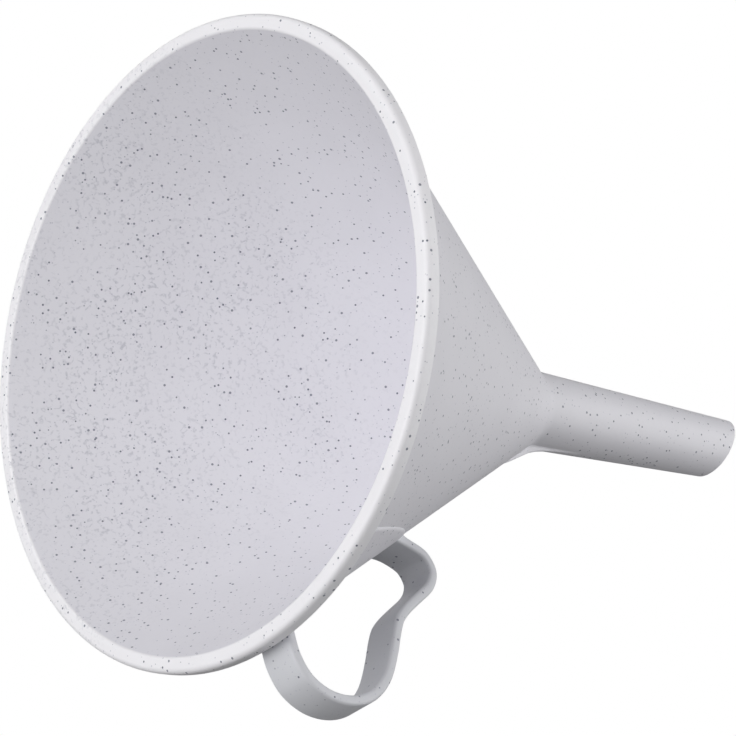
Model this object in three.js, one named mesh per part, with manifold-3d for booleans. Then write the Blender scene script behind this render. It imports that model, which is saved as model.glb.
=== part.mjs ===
// Plastic pouring funnel with a loop handle.
// Millimetres, +Z up. The origin is on the axis where the cone meets the spout.
// The handle lies in the XZ plane, on the +X side. Angles about Z start at +X.
import * as THREE from 'three';
import { mergeVertices } from 'three/addons/utils/BufferGeometryUtils.js';
import Module from 'manifold-3d';

const wasm = await Module();
wasm.setup();

// ---- driving dimensions ----
const gap = 0.3;
const roundSegments = 96;
const cornerSteps = 4;
const bevelSteps = 3;
const weldDistance = 1e-4;

const wallThickness = 1.2;
const throatRadius = 9.85;
const coneHalfAngle = THREE.MathUtils.degToRad(30.8);
const rimHeight = 105.6;

const rimRadius = 75;
const rimInnerRadius = 71.4;
const lipHeight = 3.5;
const lipCrownRadius = 2.2;
const lipFootRadius = 0.4;
const lipFlangeThickness = 0.6;

const spoutLength = 72.3;
const spoutTaper = THREE.MathUtils.degToRad(1.46);
const spoutEndSlope = THREE.MathUtils.degToRad(27.6);

const gussetThickness = 1.0;
const gussetTurn = THREE.MathUtils.degToRad(-8);
const gussetConeHeight = 11.5;
const gussetSpoutDepth = 18.5;
// Crest of the gusset: [radius beyond the throat, height], from spout to cone.
const gussetCrest = [[1.1, -3.6], [1.85, -0.2]];
const gussetEndRise = 0.5;

const strapWidth = 9.6;
const strapThickness = 2.5;
const strapEdgeRadius = 0.7;
const strapSamples = 84;
// Middle line of the strap in the handle plane, from the rim end round to the cone end.
const strapLine = [
  [72.2, 98.9], [77.0, 98.5], [82.5, 96.0], [86.0, 90.9], [86.9, 84.6],
  [85.2, 78.2], [80.3, 72.4], [72.4, 67.9], [65.5, 64.4], [61.7, 60.1],
  [58.7, 55.8], [55.9, 52.3], [52.3, 50.5], [48.4, 52.0], [46.2, 56.2],
];

// How far the hollow curves of each handle foot run up and down the cone.
const rimRootSpread = [1.2, 3.0];
const coneRootSpread = [4.5, 1.5];
const rootCurveSteps = 10;

const landRise = 0.4;
const landDepth = 0.6;
const landFootRadius = 43.9;
const landFootHeight = 57.0;
const landSlope = THREE.MathUtils.degToRad(21.7);
const landTopHeight = rimHeight - lipHeight - gap;
// The uncut shell of the land starts this far below its foot.
const landShellSpare = 20;

const plastic = { color: 0xc9c8ce, roughness: 0.42, metalness: 0 };

// ---- helpers ----
const coneTan = Math.tan(coneHalfAngle);
const levelWall = wallThickness / Math.cos(coneHalfAngle);

function coneRadius(height) {
  return throatRadius + coneTan * height;
}

function spoutRadius(height) {
  return throatRadius + Math.tan(spoutTaper) * height;
}

function vectors(points) {
  return points.map(([x, y]) => new THREE.Vector2(x, y));
}

// Turns a counter-clockwise (radius, height) outline about the Z axis.
function turned(points, closed = true) {
  const outline = vectors(points);
  if (closed) {
    outline.push(outline[0].clone());
  }
  return new THREE.LatheGeometry(outline, roundSegments).rotateX(Math.PI / 2);
}

// Extrudes an (x, z) outline evenly to both sides of the handle plane.
function plate(outline, width, edgeRadius = 0) {
  const geometry = new THREE.ExtrudeGeometry(new THREE.Shape(outline), {
    depth: width - 2 * edgeRadius,
    bevelEnabled: edgeRadius > 0,
    bevelThickness: edgeRadius,
    bevelSize: edgeRadius,
    bevelOffset: -edgeRadius,
    bevelSegments: bevelSteps,
  });
  return geometry.translate(0, 0, edgeRadius - width / 2).rotateX(Math.PI / 2);
}

function toManifold(geometry) {
  const bare = geometry.clone();
  bare.deleteAttribute('normal');
  bare.deleteAttribute('uv');
  const merged = mergeVertices(bare, weldDistance);
  const triangles = [];
  for (let i = 0; i < merged.index.count; i += 3) {
    const corners = [0, 1, 2].map((step) => merged.index.getX(i + step));
    if (new Set(corners).size === 3) {
      triangles.push(...corners);
    }
  }
  const mesh = new wasm.Mesh({
    numProp: 3,
    vertProperties: new Float32Array(merged.attributes.position.array),
    triVerts: new Uint32Array(triangles),
  });
  return new wasm.Manifold(mesh);
}

function toGeometry(solid) {
  const mesh = solid.getMesh();
  const geometry = new THREE.BufferGeometry();
  geometry.setAttribute('position', new THREE.BufferAttribute(mesh.vertProperties, 3));
  geometry.setIndex(new THREE.BufferAttribute(mesh.triVerts, 1));
  return geometry.toNonIndexed();
}

function addPart(group, name, geometry) {
  geometry.computeVertexNormals();
  const mesh = new THREE.Mesh(geometry, new THREE.MeshStandardMaterial(plastic));
  mesh.name = name;
  group.add(mesh);
}

// Solid cone from the axis out to the cone wall plus a level offset.
function coneEnvelope(offset, bottom, top) {
  return toManifold(turned([
    [0, bottom],
    [coneRadius(bottom) + offset, bottom],
    [coneRadius(top) + offset, top],
    [0, top],
  ], false));
}

function block(width, depth, height) {
  return new THREE.BoxGeometry(width, depth, height);
}

// ---- rim ----
// Points of a rounded corner in the (radius, height) plane, angles in degrees.
function corner(centre, radius, start, end) {
  const points = [];
  for (let i = 0; i <= cornerSteps; i += 1) {
    const angle = THREE.MathUtils.degToRad(start + (end - start) * (i / cornerSteps));
    points.push([centre[0] + radius * Math.cos(angle), centre[1] + radius * Math.sin(angle)]);
  }
  return points;
}

function rimLip() {
  const lowEdge = rimHeight - lipHeight;
  const underFlange = rimHeight - lipFlangeThickness;
  const wallSide = gap / Math.cos(coneHalfAngle);
  return turned([
    [coneRadius(lowEdge) + wallSide, lowEdge],
    ...corner([rimRadius - lipFootRadius, lowEdge + lipFootRadius], lipFootRadius, -90, 0),
    ...corner([rimRadius - lipCrownRadius, rimHeight - lipCrownRadius], lipCrownRadius, 0, 90),
    [rimInnerRadius, rimHeight],
    [rimInnerRadius, underFlange],
    [coneRadius(underFlange) + wallSide, underFlange],
  ]);
}

// ---- land: the patch of cone wall inside the finger loop, raised a little ----
// It is bounded by a sloping plane that cuts the cone in an arch under the rim.
function landRegion(grow) {
  const reach = rimRadius;
  const solid = toManifold(block(reach, 2 * reach, 3 * reach).translate(reach / 2 - grow, 0, 0));
  const tilt = THREE.MathUtils.radToDeg(landSlope);
  return solid.rotate([0, tilt, 0]).translate([landFootRadius, 0, landFootHeight]);
}

function landShell(grow) {
  const bottom = landFootHeight - landShellSpare;
  const top = landTopHeight + grow;
  const outside = coneEnvelope(landRise / Math.cos(coneHalfAngle) + grow, bottom, top);
  const hollow = (landDepth - gap + grow) / Math.cos(coneHalfAngle);
  const inside = coneEnvelope(-hollow, bottom - gap, top + gap);
  return outside.subtract(inside).intersect(landRegion(grow));
}

function coneWall() {
  const low = gap / 2;
  const high = rimHeight - lipFlangeThickness - gap;
  const wall = toManifold(turned([
    [coneRadius(low) - levelWall, low],
    [coneRadius(low), low],
    [coneRadius(high), high],
    [coneRadius(high) - levelWall, high],
  ]));
  return toGeometry(wall.subtract(landShell(gap)));
}

// ---- spout ----
function spoutTube() {
  const top = -gap / 2;
  const bottom = -spoutLength - throatRadius;
  const tube = toManifold(turned([
    [spoutRadius(bottom) - wallThickness, bottom],
    [spoutRadius(bottom), bottom],
    [spoutRadius(top), top],
    [spoutRadius(top) - wallThickness, top],
  ]));
  const size = spoutLength;
  const cutter = toManifold(block(size, size, size).translate(0, 0, -size / 2));
  const tilt = -THREE.MathUtils.radToDeg(spoutEndSlope);
  return toGeometry(tube.subtract(cutter.rotate([0, tilt, 0]).translate([0, 0, -spoutLength])));
}

// ---- gusset ----
function throatGusset() {
  const wallSide = gap / Math.cos(coneHalfAngle);
  const crest = gussetCrest.map(([rise, height]) => [throatRadius + rise, height]);
  const cornerHeight = -gap * Math.tan(coneHalfAngle / 2);
  return plate(vectors([
    [spoutRadius(-gussetSpoutDepth) + gap, -gussetSpoutDepth],
    [spoutRadius(-gussetSpoutDepth) + gap + gussetEndRise, -gussetSpoutDepth],
    ...crest,
    [coneRadius(gussetConeHeight) + wallSide + gussetEndRise, gussetConeHeight],
    [coneRadius(gussetConeHeight) + wallSide, gussetConeHeight],
    [throatRadius + gap, cornerHeight],
  ]), gussetThickness).rotateZ(gussetTurn);
}

// ---- handle ----
function strapCurve() {
  const points = strapLine.map(([x, z]) => new THREE.Vector3(x, z, 0));
  return new THREE.CatmullRomCurve3(points, false, 'centripetal');
}

// Point on one face of the strap, offset to the right (+1) or left (-1) of the line.
function strapFace(curve, t, side) {
  const point = curve.getPointAt(t);
  const along = curve.getTangentAt(t);
  const offset = side * strapThickness / 2;
  return new THREE.Vector2(point.x + along.y * offset, point.y - along.x * offset);
}

function handleStrap() {
  const curve = strapCurve();
  const outline = [];
  for (let i = 0; i <= strapSamples; i += 1) {
    outline.push(strapFace(curve, i / strapSamples, 1));
  }
  for (let i = strapSamples; i >= 0; i -= 1) {
    outline.push(strapFace(curve, i / strapSamples, -1));
  }
  return plate(outline, strapWidth, strapEdgeRadius);
}

// Where a line in the handle plane reaches the outer face of the cone.
function reachWall(from, along) {
  const distance = (coneRadius(from.y) - from.x) / (along.x - coneTan * along.y);
  return from.clone().addScaledVector(along, distance);
}

function wallPoint(height) {
  return new THREE.Vector2(coneRadius(height), height);
}

// Foot between one end of the strap and the cone, with a hollow curve on either side.
function handleRoot(t, upperSpread, lowerSpread) {
  const curve = strapCurve();
  const tangent = curve.getTangentAt(t).multiplyScalar(t > 0.5 ? 1 : -1);
  const along = new THREE.Vector2(tangent.x, tangent.y);
  const faces = [strapFace(curve, t, 1), strapFace(curve, t, -1)];
  faces.forEach((face) => face.addScaledVector(along, gap));
  const corners = faces.map((face) => reachWall(face, along));
  const highFirst = corners[0].y > corners[1].y;
  const [high, low] = highFirst ? faces : [faces[1], faces[0]];
  const [highCorner, lowCorner] = highFirst ? corners : [corners[1], corners[0]];
  const upper = wallPoint(highCorner.y + upperSpread);
  const lower = wallPoint(lowCorner.y - lowerSpread);
  const path = new THREE.Path();
  path.moveTo(high.x, high.y);
  path.quadraticCurveTo(highCorner.x, highCorner.y, upper.x, upper.y);
  path.lineTo(lower.x, lower.y);
  path.quadraticCurveTo(lowCorner.x, lowCorner.y, low.x, low.y);
  const solid = toManifold(plate(path.getPoints(rootCurveSteps), strapWidth));
  const clear = (landRise + gap) / Math.cos(coneHalfAngle);
  return toGeometry(solid.subtract(coneEnvelope(clear, 0, rimHeight)));
}

const funnel = new THREE.Group();
funnel.name = 'funnel';
addPart(funnel, 'rim_lip', rimLip());
addPart(funnel, 'cone_wall', coneWall());
addPart(funnel, 'spout_tube', spoutTube());
addPart(funnel, 'throat_gusset', throatGusset());
addPart(funnel, 'handle_land', toGeometry(landShell(0)));
addPart(funnel, 'handle_rim_root', handleRoot(0, ...rimRootSpread));
addPart(funnel, 'handle_strap', handleStrap());
addPart(funnel, 'handle_cone_root', handleRoot(1, ...coneRootSpread));

export default funnel;
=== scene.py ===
"""Looks of the plastic pouring funnel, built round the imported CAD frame."""

import math

import bmesh
import bpy
import numpy as np
from mathutils import Matrix, Vector


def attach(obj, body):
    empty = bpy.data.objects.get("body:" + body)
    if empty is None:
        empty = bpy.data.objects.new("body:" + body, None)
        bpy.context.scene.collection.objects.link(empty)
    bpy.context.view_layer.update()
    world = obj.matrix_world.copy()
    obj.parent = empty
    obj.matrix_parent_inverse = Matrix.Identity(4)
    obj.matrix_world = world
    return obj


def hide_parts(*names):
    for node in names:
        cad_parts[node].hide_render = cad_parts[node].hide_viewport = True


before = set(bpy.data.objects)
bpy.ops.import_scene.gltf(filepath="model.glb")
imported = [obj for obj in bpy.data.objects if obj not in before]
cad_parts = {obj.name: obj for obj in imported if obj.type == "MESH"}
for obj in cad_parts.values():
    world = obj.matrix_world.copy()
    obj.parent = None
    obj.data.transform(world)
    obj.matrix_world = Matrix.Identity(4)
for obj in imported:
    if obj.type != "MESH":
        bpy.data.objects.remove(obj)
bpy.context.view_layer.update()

# ---- sizes shared with the CAD model, in metres and degrees ----
MM = 0.001
WALL = 1.2 * MM
THROAT = 9.85 * MM
CONE_HALF_ANGLE = 30.8
RIM_HEIGHT = 105.6 * MM
RIM_RADIUS = 75 * MM
LIP_HEIGHT = 3.5 * MM
LIP_FOOT_ROUND = 0.4 * MM
SPOUT_LENGTH = 72.3 * MM
SPOUT_TAPER = 1.46
SPOUT_END_SLOPE = 27.6
GUSSET_TURN = -8
STRAP_WIDTH = 9.6 * MM
STRAP_THICKNESS = 2.5 * MM
LAND_RISE = 0.4 * MM
LAND_DEPTH = 0.6 * MM
LAND_FOOT_RADIUS = 43.9 * MM
LAND_FOOT_HEIGHT = 57.0 * MM
LAND_SLOPE = 21.7
# Middle line of the strap in the handle plane, in millimetres, from the rim end to the cone end.
STRAP_LINE = [
    (72.2, 98.9), (77.0, 98.5), (82.5, 96.0), (86.0, 90.9), (86.9, 84.6),
    (85.2, 78.2), (80.3, 72.4), (72.4, 67.9), (65.5, 64.4), (61.7, 60.1),
    (58.7, 55.8), (55.9, 52.3), (52.3, 50.5), (48.4, 52.0), (46.2, 56.2),
]

# ---- sizes that only this visual model has ----
LIP_CROWN_ROUND = 1.4 * MM
LIP_INNER_ROUND = 0.8 * MM
LEDGE_HEIGHT = 105.1 * MM
THROAT_BLEND = 7 * MM
CONE_OUTSIDE_START = 6 * MM
CONE_INSIDE_START = 4 * MM
SPOUT_END_ROUND = 0.4 * MM
# The spout's rings start to lean towards its slanted end here.
SPOUT_LEAN_START = -30 * MM

GUSSET_HALF_THICKNESS = 0.45 * MM
GUSSET_CREST_ROUND = 0.3 * MM
GUSSET_SHOULDER = 0.65 * MM
GUSSET_FOOT = 0.95 * MM
GUSSET_ROOT_DEPTH = 0.5 * MM
GUSSET_FOOT_DEPTH = 0.1 * MM
# Heights of the shoulder and of the straight side, as shares of the gusset's rise.
GUSSET_SHOULDER_SHARE = 0.1
GUSSET_SIDE_SHARE = 0.4
# Crest of the gusset in millimetres, (rise from the wall, height), from cone to spout.
GUSSET_CREST = [
    (0.05, 11.0), (0.3, 9.6), (0.81, 7.0), (1.32, 3.3), (1.8, 0.2),
    (1.2, -2.6), (0.75, -6.0), (0.4, -10.5), (0.22, -15.0), (0.05, -18.5),
]

STRAP_CORNER = 0.8 * MM
# Each foot of the handle: length, growth in width and in thickness, and the power they grow by.
RIM_ROOT = (4.2 * MM, 2.4 * MM, 2.2 * MM, 3)
CONE_ROOT = (7.0 * MM, 3.0 * MM, 3.0 * MM, 2)

LAND_BEVEL = 0.5 * MM
LAND_BEVEL_POWER = 0.6
LAND_SINK = 0.02 * MM
# Rows lie closer together near the tip. The first one is just above it, where the land has some width.
LAND_FIRST_ROW = 0.01
LAND_ROW_POWER = 1.5

# ---- mesh resolution ----
ROUND = 256
CROWN_STEPS = 12
CURVE_STEPS = 8
SPOUT_END_STEPS = 4
CONE_ROWS = 12
SPOUT_ROWS = 14
LINE_STEPS = 24
STRAP_SAMPLES = 160
ROOT_RINGS = 9
LAND_ROWS = 60
LAND_COLUMNS = 48
WELD_DISTANCE = 1e-7
TURNED_SHARP_ANGLE = 35
GUSSET_SHARP_ANGLE = 50
HANDLE_SHARP_ANGLE = 60

# ---- worked out from the sizes above ----
CONE_TAN = math.tan(math.radians(CONE_HALF_ANGLE))
CONE_COS = math.cos(math.radians(CONE_HALF_ANGLE))
LEVEL_WALL = WALL / CONE_COS
SPOUT_TAN = math.tan(math.radians(SPOUT_TAPER))
SPOUT_SLOPE = math.tan(math.radians(SPOUT_END_SLOPE))
HALF_BEND = math.radians(CONE_HALF_ANGLE - SPOUT_TAPER) / 2
# Height at which the spout ends and the blend into the cone begins.
BLEND_START = -THROAT_BLEND * math.tan(HALF_BEND)

SUFFIX = "_surface"


def cone_radius(z):
    return THROAT + CONE_TAN * z


def spout_radius(z):
    return THROAT + SPOUT_TAN * z


# ---- mesh helpers ----
def make_piece(name, verts, faces, sharp):
    mesh = bpy.data.meshes.new(name)
    mesh.from_pydata([tuple(v) for v in verts], [], faces)
    mesh.validate()
    bm = bmesh.new()
    bm.from_mesh(mesh)
    bmesh.ops.remove_doubles(bm, verts=bm.verts, dist=WELD_DISTANCE)
    bmesh.ops.recalc_face_normals(bm, faces=bm.faces)
    bm.to_mesh(mesh)
    bm.free()
    mesh.shade_smooth()
    mesh.set_sharp_from_angle(angle=math.radians(sharp))
    obj = bpy.data.objects.new(name + SUFFIX, mesh)
    bpy.context.scene.collection.objects.link(obj)
    return obj


def arc(centre, radius, start, end, steps=6):
    """Points on a circle in the (radius, height) plane, angles in degrees."""
    angles = np.radians(np.linspace(start, end, steps + 1))
    return [(centre[0] + radius * math.cos(a), centre[1] + radius * math.sin(a)) for a in angles]


def turn(name, profile):
    """Turns a closed outline about Z. A third number in a point leans it towards the spout's end plane."""
    profile = [tuple(p) + (0,) * (3 - len(p)) for p in profile]
    angles = np.linspace(0, 2 * math.pi, ROUND, endpoint=False)
    verts = []
    faces = []
    for a in angles:
        for r, z, lean in profile:
            lift = lean * SPOUT_SLOPE * r * math.cos(a)
            radius = r + SPOUT_TAN * lift
            verts.append((radius * math.cos(a), radius * math.sin(a), z + lift))
    n = len(profile)
    for i in range(ROUND):
        this, following = i * n, ((i + 1) % ROUND) * n
        for j in range(n):
            k = (j + 1) % n
            faces.append((this + j, following + j, following + k, this + k))
    return make_piece(name, verts, faces, TURNED_SHARP_ANGLE)


def skin(name, rings, sharp):
    """Joins each ring of points to the next, and closes both ends."""
    verts = [point for ring in rings for point in ring]
    faces = []
    n = len(rings[0])
    for i in range(len(rings) - 1):
        for j in range(n):
            k = (j + 1) % n
            faces.append((i * n + j, i * n + k, (i + 1) * n + k, (i + 1) * n + j))
    faces += [tuple(range(n)), tuple(range(len(verts) - n, len(verts)))]
    return make_piece(name, verts, faces, sharp)


# ---- rim ----
def rim_lip():
    low = RIM_HEIGHT - LIP_HEIGHT
    foot_centre = (RIM_RADIUS - LIP_FOOT_ROUND, low + LIP_FOOT_ROUND)
    crown_centre = (RIM_RADIUS - LIP_CROWN_ROUND, RIM_HEIGHT - LIP_CROWN_ROUND)
    inner_height = RIM_HEIGHT - LIP_INNER_ROUND
    inner_centre = (cone_radius(inner_height) - LEVEL_WALL + LIP_INNER_ROUND / CONE_COS, inner_height)
    ledge = cone_radius(LEDGE_HEIGHT)
    profile = [(cone_radius(low), low)]
    profile += arc(foot_centre, LIP_FOOT_ROUND, -90, 0)
    profile += arc(crown_centre, LIP_CROWN_ROUND, 0, 90, CROWN_STEPS)
    profile += arc(inner_centre, LIP_INNER_ROUND, 90, 180 - CONE_HALF_ANGLE, CURVE_STEPS)
    profile += [(ledge - LEVEL_WALL, LEDGE_HEIGHT), (ledge, LEDGE_HEIGHT)]
    return turn("rim_lip", profile)


# ---- cone ----
def cone_wall():
    centre = (spout_radius(BLEND_START) + THROAT_BLEND, BLEND_START)
    outside = arc(centre, THROAT_BLEND, 180, 180 - 2 * math.degrees(HALF_BEND), CURVE_STEPS)
    outside += [(cone_radius(z), z) for z in np.linspace(CONE_OUTSIDE_START, LEDGE_HEIGHT, CONE_ROWS)]
    down = np.linspace(LEDGE_HEIGHT, CONE_INSIDE_START, CONE_ROWS)
    inside = [(cone_radius(z) - LEVEL_WALL, z) for z in down]
    inside += [(spout_radius(BLEND_START) - WALL, BLEND_START)]
    return turn("cone_wall", outside + inside)


# ---- spout ----
def spout_tube():
    soft = SPOUT_END_ROUND
    end = -SPOUT_LENGTH

    def lean(z):
        return min(1.0, max(0.0, (z - SPOUT_LEAN_START) / (end - SPOUT_LEAN_START)))

    heights = np.linspace(BLEND_START, end + soft, SPOUT_ROWS)
    inside = [(spout_radius(z) - WALL, z, lean(z)) for z in heights]
    outside = [(spout_radius(z), z, lean(z)) for z in heights[::-1]]
    outer = spout_radius(end)
    lip = arc((outer - WALL + soft, end + soft), soft, 180, 270, SPOUT_END_STEPS)
    lip += arc((outer - soft, end + soft), soft, -90, 0, SPOUT_END_STEPS)
    return turn("spout_tube", inside + [(r, z, 1) for r, z in lip] + outside)


# ---- gusset ----
def gusset_ring(rise, z):
    """Outline of the gusset at one height: a wide foot on the wall and a thin rounded crest."""
    wall = cone_radius(z) if z > 0 else spout_radius(z)
    x = wall + rise
    half = GUSSET_HALF_THICKNESS
    side = [
        (GUSSET_FOOT, wall - GUSSET_ROOT_DEPTH),
        (GUSSET_FOOT, wall - GUSSET_FOOT_DEPTH),
        (GUSSET_SHOULDER, wall + GUSSET_SHOULDER_SHARE * rise),
        (half, wall + GUSSET_SIDE_SHARE * rise),
        (half, x - GUSSET_CREST_ROUND),
        (half - GUSSET_CREST_ROUND, x),
    ]
    return side + [(-y, px) for y, px in reversed(side)]


def throat_gusset():
    turned = Matrix.Rotation(math.radians(GUSSET_TURN), 3, "Z")
    rings = []
    for rise, z in GUSSET_CREST:
        height = z * MM
        rings.append([turned @ Vector((x, y, height)) for y, x in gusset_ring(rise * MM, height)])
    return skin("throat_gusset", rings, GUSSET_SHARP_ANGLE)


# ---- handle ----
def smooth_line(points, samples):
    """Centripetal Catmull-Rom through the points, evenly spaced samples."""
    p = np.array(points, float)
    p = np.vstack([2 * p[0] - p[1], p, 2 * p[-1] - p[-2]])
    out = []
    for i in range(1, len(p) - 2):
        knots = [0.0]
        for a, b in zip(p[i - 1:i + 2], p[i:i + 3]):
            knots.append(knots[-1] + np.linalg.norm(b - a) ** 0.5)
        for t in np.linspace(knots[1], knots[2], LINE_STEPS, endpoint=False):
            layer = list(p[i - 1:i + 3])
            for depth in (1, 2, 3):
                layer = [((knots[j + depth] - t) * layer[j] + (t - knots[j]) * layer[j + 1])
                         / (knots[j + depth] - knots[j]) for j in range(len(layer) - 1)]
            out.append(layer[0])
    out.append(p[-2])
    out = np.array(out)
    length = np.concatenate([[0], np.cumsum(np.linalg.norm(np.diff(out, axis=0), axis=1))])
    even = np.linspace(0, length[-1], samples)
    return np.stack([np.interp(even, length, out[:, k]) for k in (0, 1)], axis=1)


def section(width, thickness, corner, steps=5):
    """Rounded rectangle: y across the strap, n through its thickness."""
    points = []
    for sy, sn, start in ((1, 1, 0), (-1, 1, 90), (-1, -1, 180), (1, -1, 270)):
        centre = (sy * (width / 2 - corner), sn * (thickness / 2 - corner))
        points += arc(centre, corner, start, start + 90, steps)
    return points


def loft(name, path, sizes):
    """Sweeps the strap's section along a path in the handle plane."""
    path = np.array(path)
    tangent = np.gradient(path, axis=0)
    tangent /= np.linalg.norm(tangent, axis=1)[:, None]
    normal = np.stack([-tangent[:, 1], tangent[:, 0]], axis=1)
    rings = []
    for p, m, (width, thickness) in zip(path, normal, sizes):
        ring = section(width, thickness, STRAP_CORNER)
        rings.append([(p[0] + n * m[0], y, p[1] + n * m[1]) for y, n in ring])
    return skin(name, rings, HANDLE_SHARP_ANGLE)


def trim_to_wall(piece):
    """Cuts off what passes the middle of the cone wall, and closes the cut."""
    half_angle = math.radians(CONE_HALF_ANGLE)
    outward = Vector((math.cos(half_angle), 0, -math.sin(half_angle)))
    middle = Vector((THROAT - LEVEL_WALL / 2, 0, 0))
    bm = bmesh.new()
    bm.from_mesh(piece.data)
    everything = bm.verts[:] + bm.edges[:] + bm.faces[:]
    cut = bmesh.ops.bisect_plane(bm, geom=everything, plane_co=middle, plane_no=outward, clear_inner=True)
    edges = [part for part in cut["geom_cut"] if isinstance(part, bmesh.types.BMEdge)]
    bmesh.ops.edgeloop_fill(bm, edges=edges)
    bmesh.ops.recalc_face_normals(bm, faces=bm.faces)
    bm.to_mesh(piece.data)
    bm.free()


def handle_root(name, end, before, shape):
    """Foot that carries the strap on past its end and into the wall, growing as it goes."""
    reach, wider, thicker, power = shape
    into = (end - before) / np.linalg.norm(end - before)
    steps = np.linspace(0, 1, ROOT_RINGS)
    path = [end + into * reach * s for s in steps]
    sizes = [(STRAP_WIDTH + wider * s ** power, STRAP_THICKNESS + thicker * s ** power) for s in steps]
    root = loft(name, path, sizes)
    trim_to_wall(root)
    return root


def handle_pieces():
    line = smooth_line(STRAP_LINE, STRAP_SAMPLES) * MM
    strap = loft("handle_strap", line, [(STRAP_WIDTH, STRAP_THICKNESS)] * len(line))
    rim_root = handle_root("handle_rim_root", line[0], line[1], RIM_ROOT)
    cone_root = handle_root("handle_cone_root", line[-1], line[-2], CONE_ROOT)
    return [strap, rim_root, cone_root]


# ---- land: slightly raised patch of wall inside the finger loop ----
def land_row(z, half_angle):
    """Points across the land at one height, lower towards both edges."""
    width = half_angle * cone_radius(z)
    row = []
    for s in np.sin(np.linspace(-math.pi / 2, math.pi / 2, LAND_COLUMNS)):
        inset = (1 - abs(s)) * width
        lift = LAND_RISE * min(1.0, inset / LAND_BEVEL) ** LAND_BEVEL_POWER - LAND_SINK
        r = cone_radius(z) + lift / CONE_COS
        row.append((r * math.cos(s * half_angle), r * math.sin(s * half_angle), z))
    return row


def land_border():
    """Index of each point along the edge of the land's grid, in order round it."""
    rows, columns = LAND_ROWS, LAND_COLUMNS
    border = [(0, j) for j in range(columns - 1)]
    border += [(i, columns - 1) for i in range(rows - 1)]
    border += [(rows - 1, j) for j in range(columns - 1, 0, -1)]
    border += [(i, 0) for i in range(rows - 1, 0, -1)]
    return [i * columns + j for i, j in border]


def handle_land():
    slope = math.tan(math.radians(LAND_SLOPE))
    top = RIM_HEIGHT - LIP_HEIGHT
    # The sloping edge leaves the cone here: any lower, and the land has no width.
    tip = (LAND_FOOT_RADIUS - slope * LAND_FOOT_HEIGHT - THROAT) / (CONE_TAN - slope)
    heights = tip + (top - tip) * np.linspace(LAND_FIRST_ROW, 1, LAND_ROWS) ** LAND_ROW_POWER

    def half_angle(z):
        edge = LAND_FOOT_RADIUS + slope * (z - LAND_FOOT_HEIGHT)
        return math.acos(min(1.0, edge / cone_radius(z)))

    verts = []
    faces = []
    grid = [land_row(z, half_angle(z)) for z in heights]
    for row in grid:
        verts += row
    for row, z in zip(grid, heights):
        inner = (cone_radius(z) - LAND_DEPTH) / cone_radius(z)
        verts += [(x * inner, y * inner, z) for x, y, z in row]
    size = LAND_ROWS * LAND_COLUMNS
    for i in range(LAND_ROWS - 1):
        for j in range(LAND_COLUMNS - 1):
            a = i * LAND_COLUMNS + j
            quad = (a, a + 1, a + LAND_COLUMNS + 1, a + LAND_COLUMNS)
            faces.append(quad)
            faces.append(tuple(size + q for q in reversed(quad)))
    index = land_border()
    for a, b in zip(index, index[1:] + index[:1]):
        faces.append((a, a + size, b + size, b))
    return make_piece("handle_land", verts, faces, HANDLE_SHARP_ANGLE)


# ---- material ----
BLACK = (0, 0, 0)
WHITE = (1, 1, 1)
ROUGHNESS = 0.46
REFRACTION = 1.49

GROUND_SCALE = 60
GROUND_RANGE = (0.3, 0.7)
# Grains, from small to large: size of a cell, radius, share of cells with a grain, colour.
GRAINS = [
    (1.1 * MM, 0.2 * MM, 0.4, (0.52, 0.52, 0.58)),
    (1.7 * MM, 0.29 * MM, 0.38, (0.12, 0.13, 0.18)),
    (2.6 * MM, 0.36 * MM, 0.6, (0.22, 0.23, 0.28)),
]
# Share of a grain's radius that has its full colour.
GRAIN_CORE = 0.7

THREAD_COLOUR = (0.26, 0.27, 0.33)
THREAD_SCALE = 620
# The threads run where the noise is at its middle value.
NOISE_MIDDLE = 0.5
THREAD_RANGE = (0.01, 0.1)
BREAK_SCALE = 950
BREAK_RANGE = (0.48, 0.64)
PATCH_SCALE = 45
PATCH_RANGE = (0.35, 0.65)
PATCH_THIN = (0.3, 0.3, 0.3)
# Direction across the bowl in which the threads grow denser, and how dense they get.
DENSE_SIDE = (-9, -18, 0)
SIDE_RANGE = (0.3, 0.9)
SIDE_THIN = (0.03, 0.03, 0.03)
SIDE_DENSE = (0.4, 0.4, 0.4)

BUMP_SCALE = 900
BUMP_STRENGTH = 0.05
BUMP_DISTANCE = 0.2 * MM


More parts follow.
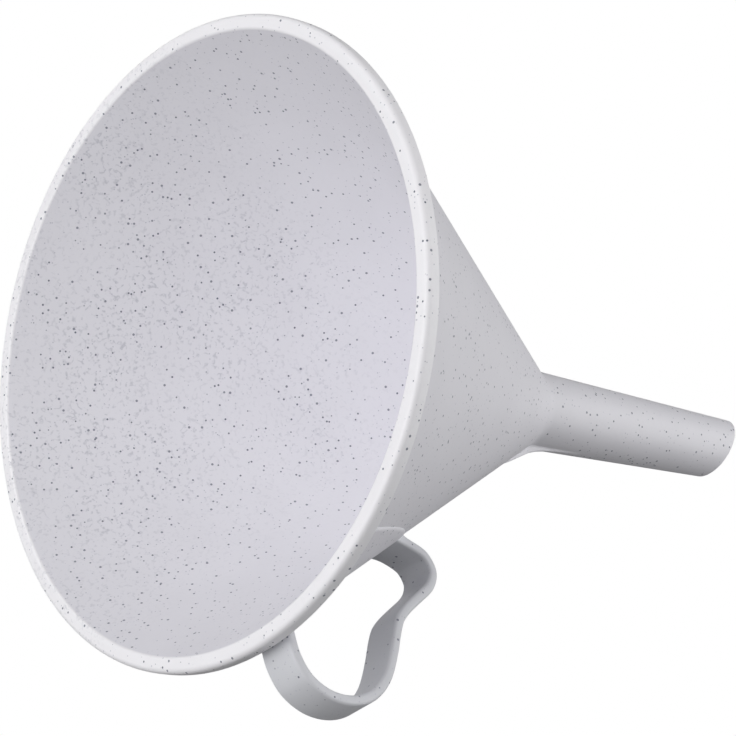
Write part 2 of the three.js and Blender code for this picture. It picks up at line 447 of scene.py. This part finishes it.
def plastic_material(name, pale, deep):
    """Speckled plastic whose ground colour drifts between two shades."""
    material = bpy.data.materials.new(name)
    material.use_nodes = True
    nodes, links = material.node_tree.nodes, material.node_tree.links
    shader = nodes["Principled BSDF"]
    shader.inputs["Roughness"].default_value = ROUGHNESS
    shader.inputs["IOR"].default_value = REFRACTION
    place = nodes.new("ShaderNodeTexCoord").outputs["Object"]

    def noise(scale, detail):
        node = nodes.new("ShaderNodeTexNoise")
        node.inputs["Scale"].default_value = scale
        node.inputs["Detail"].default_value = detail
        links.new(place, node.inputs["Vector"])
        return node.outputs["Fac"]

    def ramp(value, span, first, second):
        """Goes from the first colour to the second over a span of the value."""
        node = nodes.new("ShaderNodeValToRGB")
        links.new(value, node.inputs["Fac"])
        for element, at, colour in zip(node.color_ramp.elements, span, (first, second)):
            element.position = at
            element.color = (*colour, 1)
        return node.outputs["Color"]

    def mix(factor, first, second):
        """Blends from the first colour, which comes from a node, to the second, which is fixed."""
        node = nodes.new("ShaderNodeMix")
        node.data_type = "RGBA"
        links.new(factor, node.inputs["Factor"])
        sockets = {i.name: i for i in node.inputs if i.type == "RGBA"}
        links.new(first, sockets["A"])
        sockets["B"].default_value = (*second, 1)
        return [o for o in node.outputs if o.type == "RGBA"][0]

    def calculate(operation, first, second):
        node = nodes.new("ShaderNodeMath")
        node.operation = operation
        for socket, value in zip(node.inputs, (first, second)):
            if isinstance(value, (int, float)):
                socket.default_value = value
            else:
                links.new(value, socket)
        return node.outputs[0]

    def grains(cell, radius, share):
        """Small round grains: 1 inside a grain, 0 outside."""
        node = nodes.new("ShaderNodeTexVoronoi")
        node.inputs["Scale"].default_value = 1 / cell
        links.new(place, node.inputs["Vector"])
        edge = radius / cell
        dot = ramp(node.outputs["Distance"], (edge * GRAIN_CORE, edge), WHITE, BLACK)
        chosen = nodes.new("ShaderNodeSeparateColor")
        links.new(node.outputs["Color"], chosen.inputs["Color"])
        return calculate("MULTIPLY", dot, calculate("LESS_THAN", chosen.outputs["Red"], share))

    def threads():
        """Short curly marks, dense on one side of the bowl and thin elsewhere."""
        curl = calculate("SUBTRACT", noise(THREAD_SCALE, 1), NOISE_MIDDLE)
        line = ramp(calculate("ABSOLUTE", curl, 0), THREAD_RANGE, WHITE, BLACK)
        broken = ramp(noise(BREAK_SCALE, 1), BREAK_RANGE, BLACK, WHITE)
        patches = ramp(noise(PATCH_SCALE, 2), PATCH_RANGE, PATCH_THIN, WHITE)
        across = nodes.new("ShaderNodeVectorMath")
        across.operation = "DOT_PRODUCT"
        links.new(place, across.inputs[0])
        across.inputs[1].default_value = DENSE_SIDE
        side = ramp(across.outputs["Value"], SIDE_RANGE, SIDE_THIN, SIDE_DENSE)
        strength = calculate("MULTIPLY", patches, side)
        return calculate("MULTIPLY", calculate("MULTIPLY", line, broken), strength)

    ground = ramp(noise(GROUND_SCALE, 3), GROUND_RANGE, deep, pale)
    colour = mix(threads(), ground, THREAD_COLOUR)
    for cell, radius, share, shade in GRAINS:
        colour = mix(grains(cell, radius, share), colour, shade)
    links.new(colour, shader.inputs["Base Color"])
    bump = nodes.new("ShaderNodeBump")
    bump.inputs["Strength"].default_value = BUMP_STRENGTH
    bump.inputs["Distance"].default_value = BUMP_DISTANCE
    links.new(noise(BUMP_SCALE, 2), bump.inputs["Height"])
    links.new(bump.outputs["Normal"], shader.inputs["Normal"])
    return material


PLASTIC = plastic_material("speckled_plastic", (0.765, 0.757, 0.80), (0.745, 0.737, 0.78))
# Lighter copy of the plastic for the rim lip: painted light, standing in for the light the lip's top and
# side catch.
RIM_PLASTIC_PAINTED_LIGHT = plastic_material("speckled_plastic_rim", (0.85, 0.842, 0.87), (0.83, 0.822, 0.85))
# Darker copy of the plastic for the handle: painted shade, standing in for the shadow the rim and bowl
# cast on the strap.
HANDLE_PLASTIC_PAINTED_SHADE = plastic_material("speckled_plastic_handle", (0.63, 0.637, 0.67), (0.61, 0.617, 0.65))
# The rim takes the copy with painted light, the strap and both feet the copy with painted shade.
LOOKS = {
    "rim_lip": RIM_PLASTIC_PAINTED_LIGHT,
    "handle_strap": HANDLE_PLASTIC_PAINTED_SHADE,
    "handle_rim_root": HANDLE_PLASTIC_PAINTED_SHADE,
    "handle_cone_root": HANDLE_PLASTIC_PAINTED_SHADE,
}
for piece in [rim_lip(), cone_wall(), spout_tube(), throat_gusset(), handle_land(), *handle_pieces()]:
    node = piece.name.removesuffix(SUFFIX)
    piece.data.materials.append(LOOKS.get(node, PLASTIC))
    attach(piece, "root")
    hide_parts(node)


# ---- stage, light and camera ----
FLOOR_HEIGHT = -0.078
BACKDROP_RADIUS = 6.0
DOME_SEGMENTS = 48
DOME_RINGS = 24
WORLD_LEVEL = 0.16
LIGHT_SIZE = 1.8
LIGHT_TARGET = (0.03, 0, 0.03)
# Name, position and power. far_side is there for the side turned away from the camera.
LIGHTS = [
    ("overhead", (0.27, -0.04, 1.51), 15.2),
    ("high_side", (-0.54, 0.35, 1.37), 9.5),
    ("low_side", (0.25, 0.95, -1.12), 16),
    ("back_side", (-0.70, 1.16, -0.58), 1.5),
    ("open_side", (-0.20, 1.48, 0.11), 4),
    ("far_side", (-0.70, -1.30, -0.25), 4.5),
]
SENSOR_WIDTH = 36
LENS = 143.7
CAMERA_PLACE = (0.2933, 0.4285, 0.5142)
CAMERA_RIGHT = (0.1980, 0.6524, -0.7315)
CAMERA_AHEAD = (-0.4245, -0.6156, -0.6639)


def glow(name, colour, strength):
    material = bpy.data.materials.new(name)
    material.use_nodes = True
    tree = material.node_tree
    tree.nodes.clear()
    emit = tree.nodes.new("ShaderNodeEmission")
    emit.inputs["Color"].default_value = (*colour, 1)
    emit.inputs["Strength"].default_value = strength
    out = tree.nodes.new("ShaderNodeOutputMaterial")
    tree.links.new(emit.outputs[0], out.inputs["Surface"])
    return material


def make_backdrop():
    """White floor and a wide dome round it. Only the camera sees them."""
    bpy.ops.mesh.primitive_uv_sphere_add(
        segments=DOME_SEGMENTS, ring_count=DOME_RINGS, radius=BACKDROP_RADIUS)
    dome = bpy.context.object
    bpy.ops.mesh.primitive_plane_add(size=2 * BACKDROP_RADIUS, location=(0, 0, FLOOR_HEIGHT))
    floor = bpy.context.object
    white = glow("backdrop_white", WHITE, 1.0)
    for name, piece in (("dome", dome), ("floor", floor)):
        piece.name = name
        piece.data.materials.append(white)
        piece.visible_diffuse = False
        piece.visible_glossy = False
        piece.visible_shadow = False


def area_light(name, position, power):
    data = bpy.data.lights.new(name, "AREA")
    data.shape = "DISK"
    data.size = LIGHT_SIZE
    data.energy = power
    light = bpy.data.objects.new(name, data)
    light.visible_camera = False
    light.location = position
    aim = Vector(LIGHT_TARGET) - Vector(position)
    light.rotation_mode = "QUATERNION"
    light.rotation_quaternion = aim.to_track_quat("-Z", "Y")
    bpy.context.scene.collection.objects.link(light)


def make_camera():
    data = bpy.data.cameras.new("camera")
    data.sensor_width = SENSOR_WIDTH
    data.lens = LENS
    camera = bpy.data.objects.new("camera", data)
    ahead = Vector(CAMERA_AHEAD).normalized()
    up = Vector(CAMERA_RIGHT).normalized().cross(ahead).normalized()
    right = ahead.cross(up)
    facing = Matrix((right, up, -ahead)).transposed()
    camera.matrix_world = Matrix.Translation(Vector(CAMERA_PLACE)) @ facing.to_4x4()
    bpy.context.scene.collection.objects.link(camera)
    bpy.context.scene.camera = camera


def make_world():
    world = bpy.data.worlds.new("studio")
    bpy.context.scene.world = world
    world.use_nodes = True
    background = world.node_tree.nodes["Background"]
    background.inputs["Color"].default_value = (*WHITE, 1)
    background.inputs["Strength"].default_value = WORLD_LEVEL


make_backdrop()
make_world()
for name, position, power in LIGHTS:
    area_light(name, position, power)
make_camera()
bpy.context.scene.view_settings.view_transform = "Standard"
